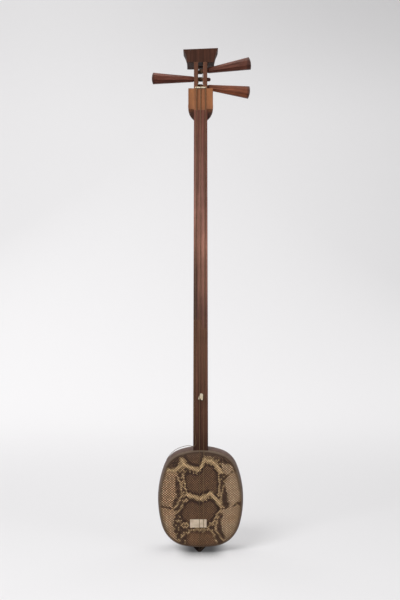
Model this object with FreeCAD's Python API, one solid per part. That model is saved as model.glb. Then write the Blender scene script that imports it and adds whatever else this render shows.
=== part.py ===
import FreeCAD, Part
import math
import os

# A small three-stringed long-necked lute, built as separate pieces, in millimetres.
# X is to the right seen from the front, Y runs from front to back, Z is up along the neck.
# The origin is the lowest end of the tail, below the middle of the neck, and midway
# through the depth of the drum.

V = FreeCAD.Vector

# Drum: the frame's outline at its front and back edges, as tangent arcs.
# The last four are the directions, in degrees above or below the horizontal as seen
# from an arc's centre, in which a corner arc meets the long arcs on either side of it.
drum_half_width = 79.9
drum_top = 197.3
drum_bottom = 10.7
drum_widest_z = 100.3
shoulder_radius = 43.9
hip_radius = 53.5
top_meets_shoulder = 69.6
shoulder_meets_side = 21.6
side_meets_hip = 15.7
hip_meets_bottom = 80.7
drum_depth = 65.0
frame_wall = 12.0
frame_bulge = 4.0
skin_thickness = 0.9

# Neck: flat in front, round behind, a little wider and deeper towards the drum.
neck_setback = 3.0
neck_width_top = 26.0
neck_width_bottom = 29.0
neck_depth_top = 25.0
neck_depth_bottom = 29.0
neck_edge_round = 1.2
neck_back_arch = 0.9
neck_top = 859.6
splice_high = 451.1
splice_low = 434.6
splice_step_x = 2.5
neck_tenon = (12.0, 11.0, 24.0)
glue_gap = 0.05

# The neck's spike runs down inside the drum, and its tongue goes on into the tail.
spike_width = 18.0
spike_depth = 15.0
spike_inset = 5.5
spike_foot_gap = 1.0
tongue_width = 7.0
tongue_end = 4.5

# Pegbox: the neck's own section, deepening towards the head, with a slot right through.
# Heights here and on the ears are above the top of the neck.
pegbox_length = 92.8
pegbox_depth_top = 40.0
pegbox_stations = (0, 0.35, 0.7, 1)
slot_width = 9.7
slot_front_rise = 44.4
slot_back_rise = 30.4
slot_ramp_knee = (7.0, 6.0)
slot_ramp_depth = 16.0
cheek_tenon = (4.0, 18.0, 9.0)

# Nut: a bone strip in a rebate across the pegbox, just under the slot.
nut_width = 21.0
nut_thickness = 2.5
nut_rise = 2.5
nut_sunk = 3.0
nut_round = 0.8
notch_room = 0.1
nut_crown_lift = 0.8

# Head: a flared block that runs back over the pegbox, a little higher on the right.
head_bottom_width = 53.0
head_top_width = 69.0
head_flare_sag = 2.2
head_left_height = 24.7
head_right_height = 27.6
head_depth = 52.0
head_underside_drop = 2.7
head_back_round = 6.0
head_edge_round = 0.8

# Ears: cheeks glued to both sides of the pegbox and the top of the neck.
# The front of each one is hollowed back below the flat, and its heel curves up behind.
ear_stand_out = 11.0
ear_straight_end = 11.4
ear_flat_end = 1.4
ear_drop = 17.5
ear_depth = 24.0
ear_top_slope = 12.0
ear_belly = (7.6, 8.1)
ear_scoop = (7.3, 7.2)
ear_chin_depth = 10.8
ear_heel = (6.0, 1.2, 8.0)
ear_trim = 0.5
ear_edge_round = 0.8

# Pegs: a tapered shaft through both cheeks and a long faceted handle.
# For each: side of the handle, height of its axis in the slot above the top of the neck,
# rise of the axis towards the handle in degrees, length from the middle, end size, and
# how far the shaft goes to the other side. Only the left one's tip stands out there.
peg_specs = {
    "peg_left": (-1, 62.2, 1.1, 95.5, 21.3, 16.2),
    "peg_upper_right": (1, 77.0, 9.8, 99.8, 23.2, 8.8),
    "peg_lower_right": (1, 48.2, -7.1, 97.2, 23.0, 8.8),
}
peg_inset = 14.5
peg_shaft_radius = 4.0
peg_taper = 0.025
peg_neck_size = 10.2
peg_neck_bevel = 1.2
peg_facets = 8
peg_end_dome = 2.2
peg_shaft_in_handle = 2.0
peg_clearance = 0.05
peg_shoulder_gap = 0.5

# Strings, their turns on the pegs and their ways over the nut and the drum's edge.
string_size = 0.9
winding_turns = 4
winding_pitch = 1.4
winding_lift = 0.08
string_stand_off = 0.3
# For each string, its peg and how far right of the slot's middle it leaves the turns.
string_pegs = {
    "left": ("peg_left", -2.6),
    "middle": ("peg_lower_right", 2.6),
    "right": ("peg_upper_right", 2.6),
}
nut_string_x = {"left": -8.3, "middle": 0.0, "right": 9.3}
drum_string_x = {"middle": -2.6, "right": 5.2}
string_over_skin = 0.3
string_sink = 0.15
string_edge_drop = 1.3
string_tie_share = 0.45
string_tie_z = 6.0
edge_bend_radius = 2.0
slot_edge_lift = 6.0
knot_radius = 1.3

# Tail: a pointed wooden end under the drum, where the strings are tied.
tail_reach_left = 14.0
tail_reach_right = 9.4
tail_corner_z = 8.8
tail_point_x = -2.4
tail_point_width = 5.2
tail_depth = 20.0
tail_in_frame = 4.0
tail_edge_round = 0.8

# Bone bridge, put away flat on the neck under the middle string.
bridge_centre = (0.7, 302.3)
bridge_length = 12.4
bridge_foot_width = 8.6
bridge_head_width = 6.2
bridge_thickness = 2.8
bridge_foot_height = 4.0
bridge_top_bevel = 1.5
bridge_notch = (2.6, 3.2)
bridge_tilt = 12.0

# Plain paper label on the front skin.
label_centre = (-4.5, 56.9)
label_width = 33.1
label_height = 18.0
label_thickness = 0.2
label_corner = 0.8

# Places that follow from the sizes above.
skin_front_y = -drum_depth / 2
frame_front_y = skin_front_y + skin_thickness
frame_back_y = -frame_front_y
neck_front_y = skin_front_y + neck_setback
spike_front_y = neck_front_y + spike_inset
tail_front_y = spike_front_y + (spike_depth - tail_depth) / 2
pegbox_top = neck_top + pegbox_length
slot_front_z = neck_top + slot_front_rise
slot_back_z = neck_top + slot_back_rise
peg_y = neck_front_y + peg_inset
nut_top_y = neck_front_y - nut_rise
string_nut_y = nut_top_y - string_sink
wire_radius = string_size / 2

# How far a cutting solid runs past what it cuts, and how far apart two places may be
# and still count as one.
through = 10.0
same_place = 0.01


def at_angle(centre, radius, angle, y):
    """The point on a circle in the XZ plane, its angle counted from +X towards +Z."""
    return V(centre[0] + radius * math.cos(angle), y, centre[1] + radius * math.sin(angle))


def long_radii(half_width, height, corner, steep, flat):
    """Radii of the end arc and the side arc that one corner arc joins within a quarter.

    The corner meets them in two set directions: steep at the end arc, flat at the side.
    """
    across = half_width - corner
    along = height - corner
    steep = math.radians(steep)
    flat = math.radians(flat)
    scale = math.cos(steep) * math.sin(flat) - (1 - math.cos(flat)) * (1 - math.sin(steep))
    end = (across * math.sin(flat) - (1 - math.cos(flat)) * along) / scale
    side = (math.cos(steep) * along - (1 - math.sin(steep)) * across) / scale
    return end + corner, side + corner


def drum_arcs():
    """The drum's outline as named arcs: centre, radius, first and last angle."""
    half = drum_half_width
    rise = drum_top - drum_widest_z
    fall = drum_widest_z - drum_bottom
    top_radius, upper_radius = long_radii(
        half, rise, shoulder_radius, top_meets_shoulder, shoulder_meets_side)
    bottom_radius, lower_radius = long_radii(
        half, fall, hip_radius, hip_meets_bottom, side_meets_hip)
    a1 = math.radians(top_meets_shoulder)
    a2 = math.radians(shoulder_meets_side)
    a3 = -math.radians(side_meets_hip)
    a4 = -math.radians(hip_meets_bottom)
    reach = top_radius - shoulder_radius
    shoulder = (reach * math.cos(a1), drum_top - top_radius + reach * math.sin(a1))
    reach = bottom_radius - hip_radius
    hip = (reach * math.cos(a4), drum_bottom + bottom_radius + reach * math.sin(a4))
    upper = (half - upper_radius, drum_widest_z)
    lower = (half - lower_radius, drum_widest_z)
    pi = math.pi
    return {
        "shoulder_right": (shoulder, shoulder_radius, a2, a1),
        "top": ((0.0, drum_top - top_radius), top_radius, a1, pi - a1),
        "shoulder_left": ((-shoulder[0], shoulder[1]), shoulder_radius, pi - a1, pi - a2),
        "upper_left": ((-upper[0], upper[1]), upper_radius, pi - a2, pi),
        "lower_left": ((-lower[0], lower[1]), lower_radius, pi, pi - a3),
        "hip_left": ((-hip[0], hip[1]), hip_radius, pi - a3, pi - a4),
        "bottom": ((0.0, drum_bottom + bottom_radius), bottom_radius, pi - a4, 2 * pi + a4),
        "hip_right": (hip, hip_radius, a4, a3),
        "lower_right": (lower, lower_radius, a3, 0.0),
        "upper_right": (upper, upper_radius, 0.0, a2),
    }


def drum_wire(y, grow):
    """The drum's outline at one depth, moved out by grow."""
    edges = []
    for centre, radius, first, last in drum_arcs().values():
        size = radius + grow
        ends = [at_angle(centre, size, a, y) for a in (first, (first + last) / 2, last)]
        edges.append(Part.Arc(*ends).toShape())
    return Part.Wire(Part.sortEdges(edges)[0])


def frame_segment(arc, first, last):
    """A length of frame: its bulged section turned about the arc's centre."""
    centre, radius = arc[0], arc[1]
    inner = radius - frame_wall
    low = at_angle(centre, inner, first, frame_front_y)
    high = at_angle(centre, inner, first, frame_back_y)
    front = at_angle(centre, radius, first, frame_front_y)
    middle = at_angle(centre, radius + frame_bulge, first, 0)
    back = at_angle(centre, radius, first, frame_back_y)
    section = Part.Wire([
        Part.makeLine(low, front),
        Part.Arc(front, middle, back).toShape(),
        Part.makeLine(back, high),
        Part.makeLine(high, low),
    ])
    axis = V(centre[0], 0, centre[1])
    turn = math.degrees(last - first)
    return Part.Face(section).revolve(axis, V(0, -1, 0), turn)


def frame_stave(before, whole, after):
    """One stave: whole arcs of the outline and half the corner on each side of them."""
    arcs = drum_arcs()
    first = arcs[before]
    last = arcs[after]
    spans = [(first, (first[2] + first[3]) / 2, first[3])]
    spans.extend((arcs[name], arcs[name][2], arcs[name][3]) for name in whole)
    spans.append((last, last[2], (last[2] + last[3]) / 2))
    pieces = [frame_segment(*span) for span in spans]
    return pieces[0].multiFuse(pieces[1:])


def block(x0, x1, y0, y1, z0, z1):
    return Part.makeBox(x1 - x0, y1 - y0, z1 - z0, V(x0, y0, z0))


def side_prism(points, x0, x1):
    """A side-view outline of (y, z) points carried from x0 to x1."""
    corners = [V(x0, y, z) for y, z in points]
    return Part.Face(Part.makePolygon(corners + corners[:1])).extrude(V(x1 - x0, 0, 0))


def neck_section(z, width, depth):
    """The neck across its length: flat front with eased edges, round back."""
    half = width / 2
    ease = neck_edge_round
    front = neck_front_y
    waist = front + depth - neck_back_arch * half
    corner = ease * (1 - math.sqrt(0.5))
    return Part.Wire([
        Part.makeLine(V(-half + ease, front, z), V(half - ease, front, z)),
        Part.Arc(V(half - ease, front, z), V(half - corner, front + corner, z),
                 V(half, front + ease, z)).toShape(),
        Part.makeLine(V(half, front + ease, z), V(half, waist, z)),
        Part.Arc(V(half, waist, z), V(0, front + depth, z), V(-half, waist, z)).toShape(),
        Part.makeLine(V(-half, waist, z), V(-half, front + ease, z)),
        Part.Arc(V(-half, front + ease, z), V(-half + corner, front + corner, z),
                 V(-half + ease, front, z)).toShape(),
    ])


def neck_size(z):
    """Width and depth of the neck at one height."""
    share = (neck_top - z) / (neck_top - drum_top)
    width = neck_width_top + share * (neck_width_bottom - neck_width_top)
    depth = neck_depth_top + share * (neck_depth_bottom - neck_depth_top)
    return width, depth


def neck_length(low, high):
    sections = [neck_section(z, *neck_size(z)) for z in (low, high)]
    return Part.makeLoft(sections, True, True)


def above_splice():
    """The space that the upper neck fills at the stepped splice."""
    side = neck_width_bottom
    front = neck_front_y - through
    back = neck_front_y + neck_depth_bottom + through
    wide = block(-side, side, front, back, splice_high, neck_top + through)
    tongue = block(splice_step_x, side, front, back, splice_low, splice_high)
    return wide.fuse(tongue)


def tenon_box(gap):
    """The stub on the neck that goes up into the pegbox, grown by a gap."""
    width, depth, height = neck_tenon
    middle = neck_front_y + neck_depth_top / 2
    return block(-width / 2 - gap, width / 2 + gap, middle - depth / 2 - gap, middle + depth / 2 + gap,
                 neck_top, neck_top + height + gap)


def cheek_tenons(gap):
    """A stub on each cheek that goes up into the head."""
    width, depth, height = cheek_tenon
    centre_x = (slot_width / 2 + neck_width_top / 2) / 2
    middle = neck_front_y + pegbox_depth_top / 2
    stubs = []
    for side in (-1, 1):
        x = side * centre_x
        stubs.append(block(x - width / 2 - gap, x + width / 2 + gap, middle - depth / 2 - gap,
                           middle + depth / 2 + gap, pegbox_top, pegbox_top + height + gap))
    return stubs


def make_neck_upper():
    return neck_length(splice_low - through, neck_top).common(above_splice()).fuse(tenon_box(0))


def make_neck_lower(top_stave):
    """The lower neck down to the drum, with the spike that goes on through it."""
    body = neck_length(drum_top - 2 * frame_wall, splice_high + through).cut(above_splice())
    body = body.cut(top_stave)
    body = max(body.Solids, key=lambda solid: solid.Volume)
    return body.fuse(spike_box(0))


def spike_box(gap):
    """The spike down to the frame's inside and the tongue below it, grown by a gap."""
    half = spike_width / 2
    front = spike_front_y - gap
    back = spike_front_y + spike_depth + gap
    foot = drum_bottom + frame_wall + spike_foot_gap
    left = tail_point_x - tongue_width / 2
    spike = block(-half - gap, half + gap, front, back, foot, drum_top + 2 * through)
    tongue = block(left - gap, left + tongue_width + gap, front, back, tongue_end - gap, foot)
    return spike.fuse(tongue).removeSplitter()


def pegbox_solid():
    """The pegbox before its slot and holes: the neck's section, deepening in a curve."""
    growth = pegbox_depth_top - neck_depth_top
    sections = []
    for share in pegbox_stations:
        depth = neck_depth_top + growth * share ** 2
        sections.append(neck_section(neck_top + pegbox_length * share, neck_width_top, depth))
    return Part.makeLoft(sections, True, False)


def slot_space():
    """The slot: open in front and behind, with a ramp down from the nut to the back."""
    front = neck_front_y - through
    behind_nut = neck_front_y + nut_sunk
    far = neck_front_y + pegbox_depth_top + through
    top = pegbox_top + through
    knee_depth, knee_height = slot_ramp_knee
    outline = [
        (front, slot_front_z), (behind_nut, slot_front_z),
        (behind_nut + knee_depth, slot_back_z + knee_height),
        (behind_nut + slot_ramp_depth, slot_back_z), (far, slot_back_z), (far, top), (front, top),
    ]
    return side_prism(outline, -slot_width / 2, slot_width / 2)


def nut_rebate():
    half = nut_width / 2
    return block(-half, half, neck_front_y - through, neck_front_y + nut_sunk,
                 slot_front_z - nut_thickness, slot_front_z)


def peg_axis(side, height, rise):
    """The middle of a peg's axis in the slot, and its direction towards the handle."""
    angle = math.radians(rise)
    return V(0, peg_y, neck_top + height), V(side * math.cos(angle), 0, math.sin(angle))


def peg_axis_height(side, height, rise, x):
    """Height of a peg's axis at one distance from the middle of the slot."""
    return neck_top + height + side * x * math.tan(math.radians(rise))


def shaft_radius(reach):
    return peg_shaft_radius + peg_taper * reach


def shaft_cone(centre, towards, first, last, gap):
    start = centre + towards * first
    return Part.makeCone(shaft_radius(first) + gap, shaft_radius(last) + gap, last - first, start, towards)


def facet_ring(centre, towards, reach, size):
    """A regular outline across the peg, its flats size apart, with a flat to the front."""
    radius = size / 2 / math.cos(math.pi / peg_facets)
    up = V(0, 1, 0).cross(towards)
    points = []
    for step in range(peg_facets + 1):
        angle = 2 * math.pi * (step + 0.5) / peg_facets
        across = V(0, math.cos(angle), 0) + up * math.sin(angle)
        points.append(centre + towards * reach + across * radius)
    return Part.makePolygon(points)


def peg_envelope(centre, towards, length, end_size):
    """A round body about the peg's axis that gives the handle's end its dome."""
    half = end_size / 2
    ball = (half ** 2 + peg_end_dome ** 2) / (2 * peg_end_dome)
    wide = end_size
    drop = ball - math.sqrt(ball ** 2 - wide ** 2) if ball > wide else ball
    across = V(0, 1, 0)
    top = centre + towards * length
    rim = centre + towards * (length - drop) + across * min(wide, ball)
    turn = math.asin(min(wide, ball) / ball) / 2
    crown = centre + towards * (length - ball + ball * math.cos(turn)) + across * (ball * math.sin(turn))
    foot = centre + across * min(wide, ball)
    outline = Part.Wire([
        Part.makeLine(centre, foot), Part.makeLine(foot, rim),
        Part.Arc(rim, crown, top).toShape(), Part.makeLine(top, centre),
    ])
    return Part.Face(outline).revolve(centre, towards, 360)


def make_peg(side, height, rise, length, end_size, tip_length):
    """A peg: the tapered shaft with its rounded tip, and the faceted handle."""
    centre, towards = peg_axis(side, height, rise)
    tilt = math.radians(abs(rise))
    shoulder = (neck_width_top / 2 + peg_shoulder_gap + peg_neck_size / 2 * math.sin(tilt)) / math.cos(tilt)
    shaft = shaft_cone(centre, towards, -tip_length, shoulder + peg_shaft_in_handle, 0)
    cap = Part.makeSphere(shaft_radius(-tip_length), centre - towards * tip_length)
    rings = [
        facet_ring(centre, towards, shoulder, peg_neck_size - peg_neck_bevel),
        facet_ring(centre, towards, shoulder + peg_neck_bevel, peg_neck_size),
        facet_ring(centre, towards, length, end_size),
    ]
    handle = Part.makeLoft(rings, True, True).common(peg_envelope(centre, towards, length, end_size))
    return shaft.multiFuse([cap, handle]).removeSplitter()


def make_pegbox():
    """The pegbox with its slot, nut rebate, neck mortise, tapered peg holes and cheek tenons."""
    body = pegbox_solid().cut(slot_space()).cut(nut_rebate()).cut(tenon_box(glue_gap))
    reach = neck_width_top
    for spec in peg_specs.values():
        centre, towards = peg_axis(*spec[:3])
        body = body.cut(shaft_cone(centre, towards, -reach, reach, peg_clearance))
    return body.multiFuse(cheek_tenons(0))


def make_nut():
    half = nut_width / 2
    top = slot_front_z
    strip = block(-half, half, nut_top_y, neck_front_y + nut_sunk, top - nut_thickness, top)
    long_front = [edge for edge in strip.Edges
                  if abs(edge.Length - nut_width) < same_place and edge.CenterOfMass.y < neck_front_y]
    strip = strip.makeFillet(nut_round, long_front)
    for x in nut_string_x.values():
        start = V(x, string_nut_y, top - nut_thickness - through)
        groove = Part.makeCylinder(wire_radius + notch_room, nut_thickness + 2 * through, start, V(0, 0, 1))
        strip = strip.cut(groove)
    return strip


def make_head():
    """The head: its flared front view and its side view, each carried through."""
    low = head_bottom_width / 2
    high = head_top_width / 2
    base = pegbox_top - head_underside_drop
    top_left = pegbox_top + head_left_height
    top_right = pegbox_top + head_right_height
    mid_z = (pegbox_top + top_left) / 2
    mid_x = (low + high) / 2 - head_flare_sag
    y0 = neck_front_y
    front = Part.Wire([
        Part.makeLine(V(-low, y0, base), V(low, y0, base)),
        Part.makeLine(V(low, y0, base), V(low, y0, pegbox_top)),
        Part.Arc(V(low, y0, pegbox_top), V(mid_x, y0, mid_z), V(high, y0, top_right)).toShape(),
        Part.makeLine(V(high, y0, top_right), V(-high, y0, top_left)),
        Part.Arc(V(-high, y0, top_left), V(-mid_x, y0, mid_z), V(-low, y0, pegbox_top)).toShape(),
        Part.makeLine(V(-low, y0, pegbox_top), V(-low, y0, base)),
    ])
    body = Part.Face(front).extrude(V(0, head_depth, 0))
    back = y0 + head_depth
    over = top_right + through
    side = [(y0, pegbox_top), (back, base), (back, over), (y0, over)]
    body = body.common(side_prism(side, -high - through, high + through))
    rear = [edge for edge in body.Edges
            if edge.CenterOfMass.y > back - same_place and edge.CenterOfMass.z > mid_z
            and edge.BoundBox.XLength > head_bottom_width]
    body = body.makeFillet(head_back_round, rear)
    crisp = [edge for edge in body.Edges
             if edge.CenterOfMass.z > top_left - same_place and edge.CenterOfMass.y < back - head_back_round]
    body = body.makeFillet(head_edge_round, crisp)
    for hole in cheek_tenons(glue_gap):
        body = body.cut(hole)
    return body.cut(pegbox_solid())


def make_ear(side, pegbox, neck_upper):
    """An ear: its front view and its side view, hollowed to sit on the neck."""
    y0 = neck_front_y
    back = y0 + ear_depth
    neck_half = neck_width_top / 2
    top = slot_front_z - nut_thickness
    bottom = neck_top - ear_drop
    flat_end = neck_top + ear_flat_end
    straight_end = neck_top + ear_straight_end
    inner = side * (neck_half - 2 * neck_edge_round)
    outer = side * (neck_half + ear_stand_out)
    low_x = side * (neck_size(bottom)[0] / 2)
    belly = V(side * (neck_half + ear_belly[0]), y0, neck_top - ear_belly[1])
    front = Part.Wire([
        Part.makeLine(V(inner, y0, bottom), V(inner, y0, top)),
        Part.makeLine(V(inner, y0, top), V(outer, y0, top)),
        Part.makeLine(V(outer, y0, top), V(outer, y0, straight_end)),
        Part.Arc(V(outer, y0, straight_end), belly, V(low_x, y0, bottom)).toShape(),
        Part.makeLine(V(low_x, y0, bottom), V(inner, y0, bottom)),
    ])
    body = Part.Face(front).extrude(V(0, ear_depth, 0))
    heel_in, heel_bow, heel_rise = ear_heel
    below = bottom - ear_trim
    start = V(0, y0, flat_end)
    scoop = V(0, y0 + ear_scoop[0], neck_top - ear_scoop[1])
    chin = V(0, y0 + ear_chin_depth, below)
    heel = V(0, back - heel_in, below)
    view = Part.Wire([
        Part.makeLine(V(0, y0, top), start),
        Part.Arc(start, scoop, chin).toShape(),
        Part.makeLine(chin, heel),
        Part.Arc(heel, V(0, back - heel_bow, bottom + heel_rise), V(0, back, flat_end)).toShape(),
        Part.makeLine(V(0, back, flat_end), V(0, back, top - ear_top_slope)),
        Part.makeLine(V(0, back, top - ear_top_slope), V(0, y0, top)),
    ])
    reach = neck_half + ear_stand_out + through
    slab = Part.Face(view).extrude(V(2 * reach, 0, 0))
    slab.translate(V(-reach, 0, 0))
    body = body.common(slab)
    outside = [edge for edge in body.Edges if abs(edge.CenterOfMass.x - outer) < same_place]
    body = body.makeFillet(ear_edge_round, outside).removeSplitter()
    body = body.cut(pegbox).cut(neck_upper)
    return max(body.Solids, key=lambda solid: solid.Volume)


def make_tail(bottom_stave):
    """The tail: a pointed block on the spike's tongue, shaped to the frame's underside."""
    y0 = tail_front_y
    left = tail_point_x - tail_point_width / 2
    right = tail_point_x + tail_point_width / 2
    top = drum_bottom + tail_in_frame
    corners = [
        V(-tail_reach_left, y0, top), V(tail_reach_right, y0, top),
        V(tail_reach_right, y0, tail_corner_z), V(right, y0, 0),
        V(left, y0, 0), V(-tail_reach_left, y0, tail_corner_z),
    ]
    body = Part.Face(Part.makePolygon(corners + corners[:1])).extrude(V(0, tail_depth, 0))
    rims = [edge for edge in body.Edges if edge.BoundBox.YLength < same_place
            and same_place < edge.CenterOfMass.z < top - same_place]
    body = body.makeFillet(tail_edge_round, rims)
    body = body.cut(bottom_stave).cut(spike_box(glue_gap))
    return min(body.Solids, key=lambda solid: solid.CenterOfMass.z)


def make_bridge():
    """The bridge lies on its face: a foot with an arch at one end, a narrow top at the other."""
    half = bridge_length / 2
    foot = bridge_foot_width / 2
    head = bridge_head_width / 2
    step = bridge_foot_height - half
    bevel = bridge_top_bevel
    arch, arch_height = bridge_notch
    corners = [
        (-foot, -half), (-arch / 2, -half), (0, -half + arch_height), (arch / 2, -half), (foot, -half),
        (foot, step), (head, half - bevel), (head - bevel, half), (bevel - head, half), (-head, half - bevel),
        (-foot, step),
    ]
    points = [V(x, 0, z) for x, z in corners]
    body = Part.Face(Part.makePolygon(points + points[:1])).extrude(V(0, bridge_thickness, 0))
    body.rotate(V(0, 0, 0), V(0, 1, 0), bridge_tilt)
    body.translate(V(bridge_centre[0], neck_front_y - bridge_thickness, bridge_centre[1]))
    return body


def make_label():
    x, z = label_centre
    sheet = block(x - label_width / 2, x + label_width / 2, skin_front_y - label_thickness, skin_front_y,
                  z - label_height / 2, z + label_height / 2)
    corners = [edge for edge in sheet.Edges if edge.BoundBox.YLength > label_thickness / 2]
    return sheet.makeFillet(label_corner, corners)


def bend_radius(before, corner, after, share=0.45):
    """The largest arc that two runs leave room for at the corner between them."""
    come = before - corner
    leave = after - corner
    half_turn = (math.pi - come.getAngle(leave)) / 2
    return share * min(come.Length, leave.Length) / math.tan(half_turn)


def routed_tube(name, points, size, radii=None):
    """A round tube along straight runs joined by tangent arcs."""
    edges = []
    start = points[0]
    used = []
    for i in range(1, len(points) - 1):
        corner = points[i]
        come = (points[i - 1] - corner)
        leave = (points[i + 1] - corner)
        half_turn = (math.pi - come.getAngle(leave)) / 2
        radius = bend_radius(points[i - 1], corner, points[i + 1])
        if radii and radii.get(i):
            radius = min(radius, radii[i])
        used.append(radius)
        cut = radius * math.tan(half_turn)
        first = corner + come.normalize() * cut
        last = corner + leave.normalize() * cut
        inward = (come + leave).normalize()
        middle = corner + inward * (radius / math.cos(half_turn) - radius)
        edges.append(Part.makeLine(start, first))
        edges.append(Part.Arc(first, middle, last).toShape())
        start = last
    edges.append(Part.makeLine(start, points[-1]))
    path = Part.Wire(edges)
    circle = Part.Wire([Part.makeCircle(size / 2, points[0], points[1] - points[0])])
    tube = path.makePipeShell([circle], True, False)
    expected = math.pi * size ** 2 / 4 * path.Length
    print(name, "length %.1f" % path.Length, "volume ratio %.4f" % (tube.Volume / expected))
    print(name, "radii", " ".join("%.1f" % r for r in used))
    return tube


def biarc(p0, t0, p1, t1):
    """Two arcs that leave p0 along t0, meet smoothly, and reach p1 along t1."""
    across = p1 - p0
    both = t0 + t1
    k = 2 * (1 - t0.dot(t1))
    reach = (-across.dot(both) + math.sqrt(across.dot(both) ** 2 + k * across.dot(across))) / k
    q0 = p0 + t0 * reach
    q1 = p1 - t1 * reach
    joint = (q0 + q1) * 0.5
    arcs = []
    for start, control, end in ((p0, q0, joint), (joint, q1, p1)):
        chord = (start + end) * 0.5
        inward = chord - control
        half_turn = math.pi / 2 - math.atan2((end - start).Length / 2, inward.Length)
        radius = reach / math.tan(half_turn)
        middle = control + inward.normalize() * (radius / math.cos(half_turn) - radius)
        arcs.append(Part.Arc(start, middle, end).toShape())
    return arcs


def least_gap(path, radius):
    """The least clear distance between one turn of a wound path and the next."""
    spacing = 0.25
    stride = 3
    left_out = 0.6
    spots = path.discretize(Distance=spacing)
    ahead = int(left_out * 2 * math.pi * radius / spacing)
    distances = []
    for i in range(0, len(spots) - ahead, stride):
        for j in range(i + ahead, len(spots), stride):
            distances.append((spots[i] - spots[j]).Length)
    return min(distances) - string_size


def make_winding(which):
    """A string's turns on its peg, one unbroken tube on pairs of arcs, half a turn each."""
    peg, lane = string_pegs[which]
    side, height, rise = peg_specs[peg][:3]
    centre, towards = peg_axis(side, height, rise)
    up = V(0, 1, 0).cross(towards)
    radius = peg_shaft_radius + wire_radius + winding_lift
    slope = winding_pitch / (2 * math.pi)
    half = winding_turns * winding_pitch / 2
    lean = math.copysign(side, side * lane)
    exit_angle = winding_phase(which)

    def place(turn):
        angle = exit_angle + 2 * math.pi * turn
        around = V(0, math.cos(angle), 0) + up * math.sin(angle)
        along = V(0, -math.sin(angle), 0) + up * math.cos(angle)
        spot = centre + towards * lean * (half - winding_pitch * turn) + around * radius
        return spot, (along * radius - towards * lean * slope).normalize()

    edges = []
    for step in range(2 * winding_turns):
        edges.extend(biarc(*place(step / 2), *place((step + 1) / 2)))
    path = Part.Wire(edges)
    print("winding", which, "least gap %.2f" % least_gap(path, radius))
    start, tangent = place(0)
    circle = Part.Wire([Part.makeCircle(wire_radius, start, tangent)])
    return path.makePipeShell([circle], True, False)


def slot_edge_point(which):
    """Where a string bends over the slot's front edge on its way to the nut."""
    nut_x = nut_string_x[which]
    limit = slot_width / 2 - wire_radius - string_sink
    if abs(nut_x) <= limit:
        return V(nut_x, string_nut_y, slot_front_z + nut_crown_lift)
    over_edge = neck_front_y - wire_radius - string_sink
    return V(math.copysign(limit, nut_x), over_edge, slot_front_z + slot_edge_lift)


def string_start(which):
    """Where a string comes clear of its peg's turns, on the line to the slot's edge."""
    peg, lane = string_pegs[which]
    aim = slot_edge_point(which)
    axis_z = peg_axis_height(*peg_specs[peg][:3], lane)
    radius = peg_shaft_radius + 2 * winding_lift + string_size + string_stand_off + wire_radius
    dy = aim.y - peg_y
    dz = aim.z - axis_z
    angle = math.atan2(dz, dy) - math.acos(radius / math.hypot(dy, dz))
    return V(lane, peg_y + radius * math.cos(angle), axis_z + radius * math.sin(angle))


def winding_phase(which):
    """The angle round the peg at which its string leaves."""
    peg, lane = string_pegs[which]
    side, height, rise = peg_specs[peg][:3]
    up = V(0, 1, 0).cross(peg_axis(side, height, rise)[1])
    away = string_start(which) - V(lane, peg_y, peg_axis_height(side, height, rise, lane))
    return math.atan2(away.dot(up), away.y)


def head_end(which):
    """A string's first points: clear of its peg, over the slot's edge, onto the nut."""
    edge = slot_edge_point(which)
    crown = V(nut_string_x[which], string_nut_y, slot_front_z + nut_crown_lift)
    points = [string_start(which), edge]
    if (edge - crown).Length > string_size:
        points.append(crown)
    return points


def tie_x(which):
    """Where a string is tied on the tail, between its line on the skin and the point."""
    return tail_point_x + (drum_string_x[which] - tail_point_x) * string_tie_share


def make_taut_string(which):
    on_skin = skin_front_y - string_over_skin - wire_radius
    edge = V(drum_string_x[which], on_skin, drum_bottom - string_edge_drop)
    knot = V(tie_x(which), tail_front_y - wire_radius, string_tie_z + 2 * wire_radius)
    points = head_end(which) + [edge, knot]
    limits = {step: edge_bend_radius for step in range(1, len(points) - 1)}
    return routed_tube("string_" + which, points, string_size, limits)


# The slack string's own route from the nut down, chosen by eye.
slack_route = [
    (-8.6, -32.2, 888.0), (-8.2, -32.0, 862.0), (-8.9, -31.8, 818.0), (-8.4, -31.6, 761.0),
    (-9.3, -31.4, 704.0), (-8.9, -31.3, 646.0), (-9.9, -31.2, 588.0), (-9.5, -31.2, 530.0),
    (-10.5, -31.1, 472.0), (-10.1, -31.2, 414.0), (-11.2, -31.1, 356.0), (-10.9, -31.2, 298.0),
    (-11.9, -31.1, 258.0), (-11.5, -31.3, 236.0), (-10.0, -31.8, 224.0), (-8.9, -32.4, 215.5),
    (-9.2, -33.0, 209.5), (-12.0, -33.5, 206.3), (-16.5, -33.3, 206.6), (-22.5, -31.0, 207.6),
    (-29.0, -27.0, 206.2), (-36.0, -22.0, 203.7), (-43.5, -17.0, 200.3), (-50.5, -13.5, 195.9),
    (-57.0, -11.5, 190.2), (-62.5, -10.5, 183.6), (-66.8, -10.0, 176.9),
]


def make_slack_string():
    points = head_end("left") + [V(*spot) for spot in slack_route]
    return routed_tube("string_left", points, string_size, {1: edge_bend_radius, 2: edge_bend_radius})


def make_knots():
    """A small knot for each tied string, seated on the tail's front."""
    knots = []
    for which in drum_string_x:
        centre = V(tie_x(which), tail_front_y - wire_radius, string_tie_z - knot_radius - wire_radius / 2)
        knots.append(Part.makeTorus(knot_radius, wire_radius, centre, V(0, 1, 0)))
    return Part.makeCompound(knots)


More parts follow.
